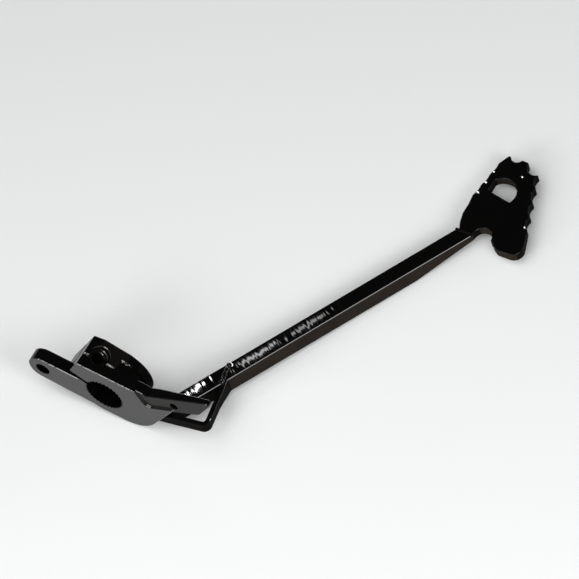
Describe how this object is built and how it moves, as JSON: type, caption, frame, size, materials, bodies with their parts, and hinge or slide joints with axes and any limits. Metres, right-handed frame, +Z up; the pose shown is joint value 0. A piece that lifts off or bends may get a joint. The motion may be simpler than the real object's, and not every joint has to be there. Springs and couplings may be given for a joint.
{
  "type": "rear brake pedal",
  "caption": "Black painted steel rear brake pedal with a split clamp boss, a rod arm, a switch tab, an outswept arm with a welded brace and a serrated toe plate.",
  "frame": {"origin": "on the pivot bore's axis, in the plane of the lever's outer face", "axes": "+Y along the pivot shaft from the lever's outer face into the barrel, +X forward from the pivot towards the toe plate, +Z up, square to the arm's flat top"},
  "size_m": [0.2054, 0.22, 0.0478],
  "materials": {
    "lever_paint": "gloss black paint on forged steel",
    "arm_paint": "gloss black paint on bar steel, dulled along its outer side",
    "toe_paint": "gloss black paint on plate steel",
    "weld_paint": "gloss black paint over a rippled weld bead"
  },
  "bodies": {
    "root": {"clamp_lever": "lever_paint", "pedal_arm": "arm_paint", "arm_brace": "arm_paint", "toe_plate": "toe_paint", "fork_weld": "weld_paint", "root_weld": "weld_paint", "toe_weld": "weld_paint"}
  },
  "joints": []
}
